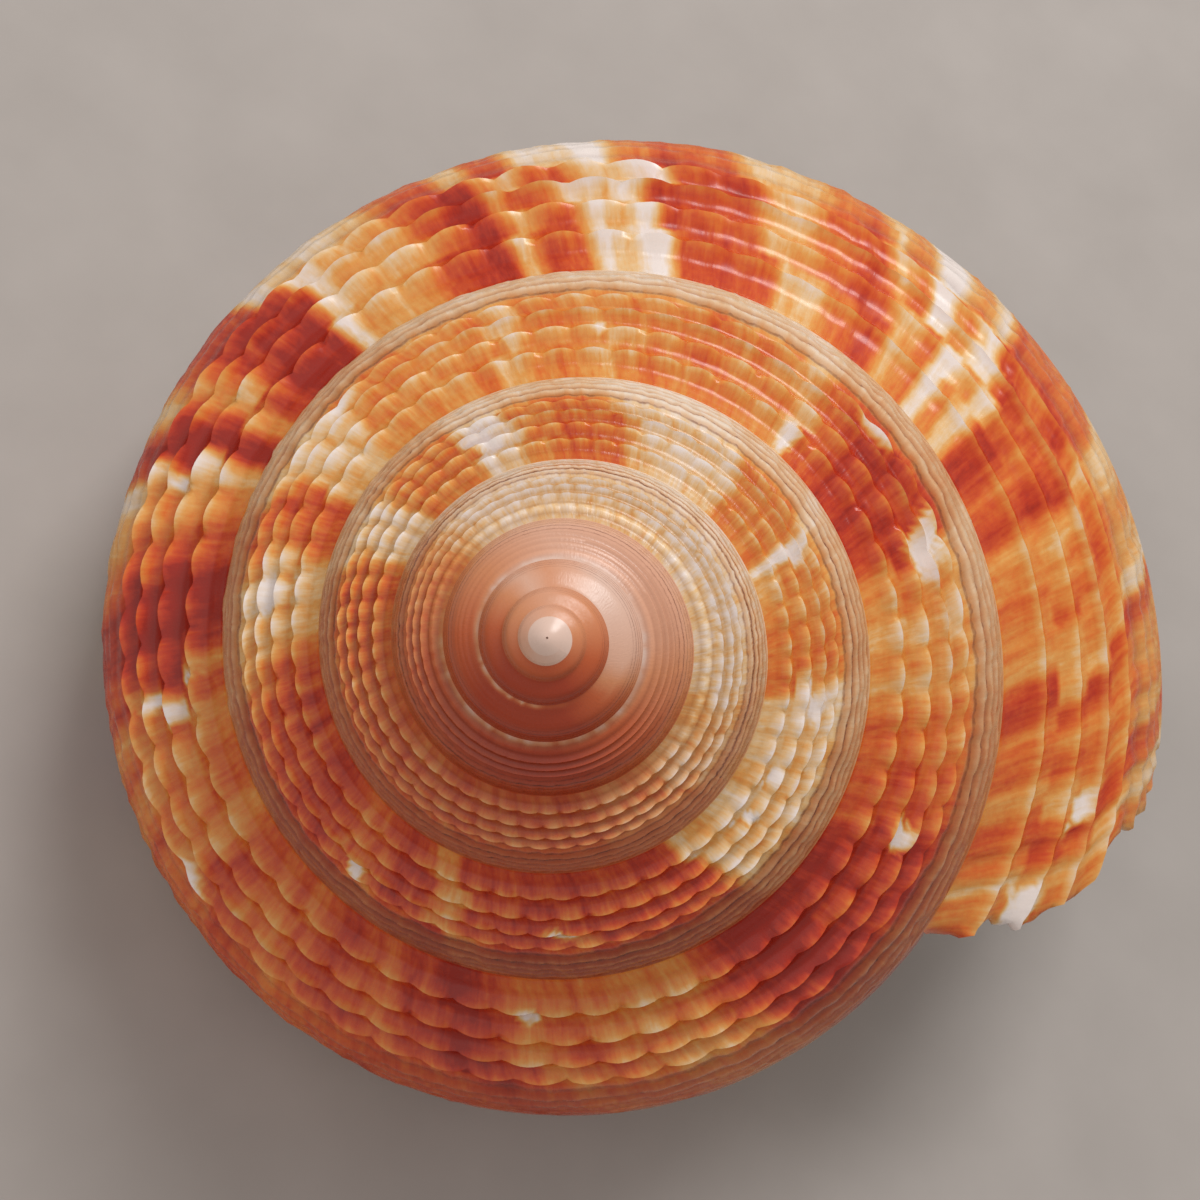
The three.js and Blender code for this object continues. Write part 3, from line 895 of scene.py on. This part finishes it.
# %% [markdown]
# The outside is lime that the snail laid down and glazed: hard, smooth and glossy like porcelain.
# Heat picks the colour from one ramp. Noise that is stretched along the growth lines tears the edges
# of the blocks into streaks, and a finer noise speckles them. Grooves are painted a little darker,
# which is painted shade. On the older whorls the wall below the shoulder is a rope of pale strands
# with thin brown lines between them. The strand tops are partly their own paler colour and partly
# painted highlight, and the lines in the gaps are painted shade. The whorls of the tip are pink.
# A gloss that varies with the speckle gives the eye a worn glaze in place of new plastic.

# %% Finish of the outside
STREAK_MM, STREAK_SHARE = 0.7, 0.36
SPECKLE_MM, SPECKLE_SHARE = 0.35, 0.16
NOISE_MEAN = 0.27
LAST_RADIUS_MM = 29
LAST_TURN_MM = 2 * math.pi * LAST_RADIUS_MM
STREAKS_ACROSS = 5.0
# How much of the painted groove shade reaches the colour.
GROOVE_SHADE_SHARE = 0.5
THREAD_WAVE = 2.0
STRAND_CONTRAST = 0.16
THREAD_PITCH = 2 * math.pi * THREADS / (SEAM_STATION - SHOULDER_STATION)
THREAD_START = -THREAD_PITCH * SHOULDER_STATION - THREAD_WAVE / 2
FLAME_TONES = [
    (0.0, "#EEE1DA"), (0.14, "#EAD2B8"), (0.27, "#E8C08A"), (0.4, "#E4A355"), (0.52, "#E08A3C"),
    (0.64, "#DC6E2A"), (0.76, "#D05020"), (0.88, "#BE3618"), (1.0, "#A22412"),
]
WALL_TONES = [
    (0.0, "#E6D2BE"), (0.15, "#DAB592"), (0.3, "#CC9870"), (0.5, "#B66E46"), (0.7, "#98482C"),
    (0.9, "#84361F"),
]
TIP_TONES = [
    (0.0, "#E2CABD"), (0.25, "#DAA88E"), (0.5, "#D28A60"), (0.75, "#C05C32"), (1.0, "#AA3E20"),
]
PINK_SHARES = [
    (0.08, "#FFFFFF"), (0.14, "#606060"), (0.2, "#303030"), (0.235, "#404040"), (0.27, "#C0C0C0"),
    (0.33, "#A0A0A0"), (0.365, "#000000"),
]
# The brown that painted shade multiplies into the grooves.
GROOVE_SHADE_TONE = "#7A3A22"

tree, shader = lime_tree, lime_shader
growth_map = add(tree, "ShaderNodeUVMap", uv_map="growth_map")
parts = add(tree, "ShaderNodeSeparateXYZ", {"Vector": growth_map.outputs["UV"]})
place = add(tree, "ShaderNodeTexCoord")
paint_map = add(tree, "ShaderNodeUVMap", uv_map="paint_map")
paint = add(tree, "ShaderNodeSeparateXYZ", {"Vector": paint_map.outputs["UV"]})
stretch = add(
    tree,
    "ShaderNodeMapping",
    {"Vector": growth_map.outputs["UV"], "Scale": (LAST_TURN_MM / STREAK_MM, STREAKS_ACROSS, 1.0)},
)
streaks = add(
    tree,
    "ShaderNodeTexNoise",
    {"Vector": stretch.outputs["Vector"], "Scale": 1.0, "Detail": 3.0, "Roughness": 0.6},
    noise_dimensions="2D",
)
speckle = add(
    tree,
    "ShaderNodeTexNoise",
    {"Vector": place.outputs["Object"], "Scale": 1 / (SPECKLE_MM * MM), "Detail": 2.0},
)
torn = add(
    tree,
    "ShaderNodeMath",
    {0: streaks.outputs["Fac"], 1: STREAK_SHARE, 2: paint.outputs["X"]},
    operation="MULTIPLY_ADD",
)
specked = add(
    tree,
    "ShaderNodeMath",
    {0: speckle.outputs["Fac"], 1: SPECKLE_SHARE, 2: torn.outputs["Value"]},
    operation="MULTIPLY_ADD",
)
level = add(
    tree,
    "ShaderNodeMath",
    {0: specked.outputs["Value"], 1: NOISE_MEAN},
    operation="SUBTRACT",
)
flames = stops(add(tree, "ShaderNodeValToRGB", {"Fac": level.outputs["Value"]}), FLAME_TONES)
wall_mask = add(
    tree,
    "ShaderNodeMapRange",
    {"Value": parts.outputs["Y"], "From Min": 0.71, "From Max": 0.75},
    interpolation_type="SMOOTHSTEP",
)
thread_phase = add(
    tree,
    "ShaderNodeMath",
    {0: parts.outputs["Y"], 1: THREAD_PITCH, 2: THREAD_START},
    operation="MULTIPLY_ADD",
)
wavy_phase = add(
    tree,
    "ShaderNodeMath",
    {0: streaks.outputs["Fac"], 1: THREAD_WAVE, 2: thread_phase.outputs["Value"]},
    operation="MULTIPLY_ADD",
)
thread_top = add(tree, "ShaderNodeMath", {0: wavy_phase.outputs["Value"]}, operation="COSINE")
# The strand tops are paler and the gaps between them darker: partly the strands' own colour, partly
# painted highlight and shade.
strand_level = add(
    tree,
    "ShaderNodeMath",
    {0: thread_top.outputs["Value"], 1: -STRAND_CONTRAST, 2: level.outputs["Value"]},
    operation="MULTIPLY_ADD",
)
wall_tone = stops(add(tree, "ShaderNodeValToRGB", {"Fac": strand_level.outputs["Value"]}), WALL_TONES)
older = add(
    tree,
    "ShaderNodeMapRange",
    {
        "Value": parts.outputs["X"],
        "From Min": -0.72,
        "From Max": -0.95,
        "To Min": 0.05,
        "To Max": 0.8,
    },
)
above_base = add(
    tree,
    "ShaderNodeMapRange",
    {"Value": parts.outputs["Y"], "From Min": 1.1, "From Max": 0.99},
    interpolation_type="SMOOTHSTEP",
)
old_wall = add(
    tree,
    "ShaderNodeMath",
    {0: wall_mask.outputs["Result"], 1: older.outputs["Result"]},
    operation="MULTIPLY",
)
wall_share = add(
    tree,
    "ShaderNodeMath",
    {0: old_wall.outputs["Value"], 1: above_base.outputs["Result"]},
    operation="MULTIPLY",
)
body_tone = add(
    tree,
    "ShaderNodeMix",
    {0: wall_share.outputs["Value"], 6: flames.outputs["Color"], 7: wall_tone.outputs["Color"]},
    data_type="RGBA",
)
# Painted shade: thin dark lines in the gaps between the wall's threads, broken up by the speckle.
thread_gap = add(
    tree,
    "ShaderNodeMapRange",
    {"Value": thread_top.outputs["Value"], "From Min": -0.72, "From Max": -0.97},
)
gap_share = add(
    tree,
    "ShaderNodeMapRange",
    {
        "Value": speckle.outputs["Fac"],
        "From Min": 0.3,
        "From Max": 0.65,
        "To Min": 0.4,
        "To Max": 0.95,
    },
)
broken_gap = add(
    tree,
    "ShaderNodeMath",
    {0: thread_gap.outputs["Result"], 1: gap_share.outputs["Result"]},
    operation="MULTIPLY",
)
wall_gap = add(
    tree,
    "ShaderNodeMath",
    {0: broken_gap.outputs["Value"], 1: wall_share.outputs["Value"]},
    operation="MULTIPLY",
)
tip_tone = stops(add(tree, "ShaderNodeValToRGB", {"Fac": paint.outputs["X"]}), TIP_TONES)
turns_back = add(
    tree,
    "ShaderNodeMapRange",
    {"Value": parts.outputs["X"], "From Min": -4.0, "From Max": 0.0},
)
pinkness = stops(add(tree, "ShaderNodeValToRGB", {"Fac": turns_back.outputs["Result"]}), PINK_SHARES)
toned = add(
    tree,
    "ShaderNodeMix",
    {0: pinkness.outputs["Color"], 6: body_tone.outputs["Result"], 7: tip_tone.outputs["Color"]},
    data_type="RGBA",
)
# Painted shade: the grooves and the wall's thread gaps are multiplied darker here.
dark = add(
    tree,
    "ShaderNodeMath",
    {0: paint.outputs["Y"], 1: GROOVE_SHADE_SHARE, 2: wall_gap.outputs["Value"]},
    operation="MULTIPLY_ADD",
)
shaded = add(
    tree,
    "ShaderNodeMix",
    {0: dark.outputs["Value"], 6: toned.outputs["Result"], 7: colour(GROOVE_SHADE_TONE)},
    data_type="RGBA",
    blend_type="MULTIPLY",
)
tree.links.new(shaded.outputs["Result"], shader.inputs["Base Color"])
gloss = add(
    tree,
    "ShaderNodeMapRange",
    {"Value": speckle.outputs["Fac"], "To Min": 0.18, "To Max": 0.36},
)
tree.links.new(gloss.outputs["Result"], shader.inputs["Roughness"])
shader.inputs["IOR"].default_value = 1.5
shader.inputs["Specular IOR Level"].default_value = 0.4
fine_lines = add(
    tree,
    "ShaderNodeBump",
    {"Height": streaks.outputs["Fac"], "Strength": 0.12, "Distance": 0.15 * MM},
)
tree.links.new(fine_lines.outputs["Normal"], shader.inputs["Normal"])
print("finish:", lime.name, "with", len(tree.nodes), "nodes")

# %% [markdown]
# The inside is mother-of-pearl: thin plates of lime that split the light, so it is silvery with a
# soft play of pink and green. A thin film on a smooth shader gives that from real optics, and a slow
# noise makes the sheen uneven, as it is in a shell.

# %% Finish of the inside
PEARL_BAND_MM = 6.0
PEARL_TONES = [(0.25, "#E9DCD6"), (0.45, "#E3D3CF"), (0.6, "#D5DAD2"), (0.75, "#EADFD0")]

tree, shader = pearl_tree, pearl_shader
place = add(tree, "ShaderNodeTexCoord")
bands = add(
    tree,
    "ShaderNodeTexNoise",
    {
        "Vector": place.outputs["Object"],
        "Scale": 1 / (PEARL_BAND_MM * MM),
        "Detail": 3.0,
        "Distortion": 0.6,
    },
)
sheen = stops(add(tree, "ShaderNodeValToRGB", {"Fac": bands.outputs["Fac"]}), PEARL_TONES)
tree.links.new(sheen.outputs["Color"], shader.inputs["Base Color"])
shader.inputs["Roughness"].default_value = 0.22
shader.inputs["IOR"].default_value = 1.6
shader.inputs["Thin Film Thickness"].default_value = 420.0
shader.inputs["Thin Film IOR"].default_value = 1.8
print("finish:", pearl.name)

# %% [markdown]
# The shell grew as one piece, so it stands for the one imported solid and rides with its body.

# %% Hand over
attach(shell, "root")
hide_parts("shell")
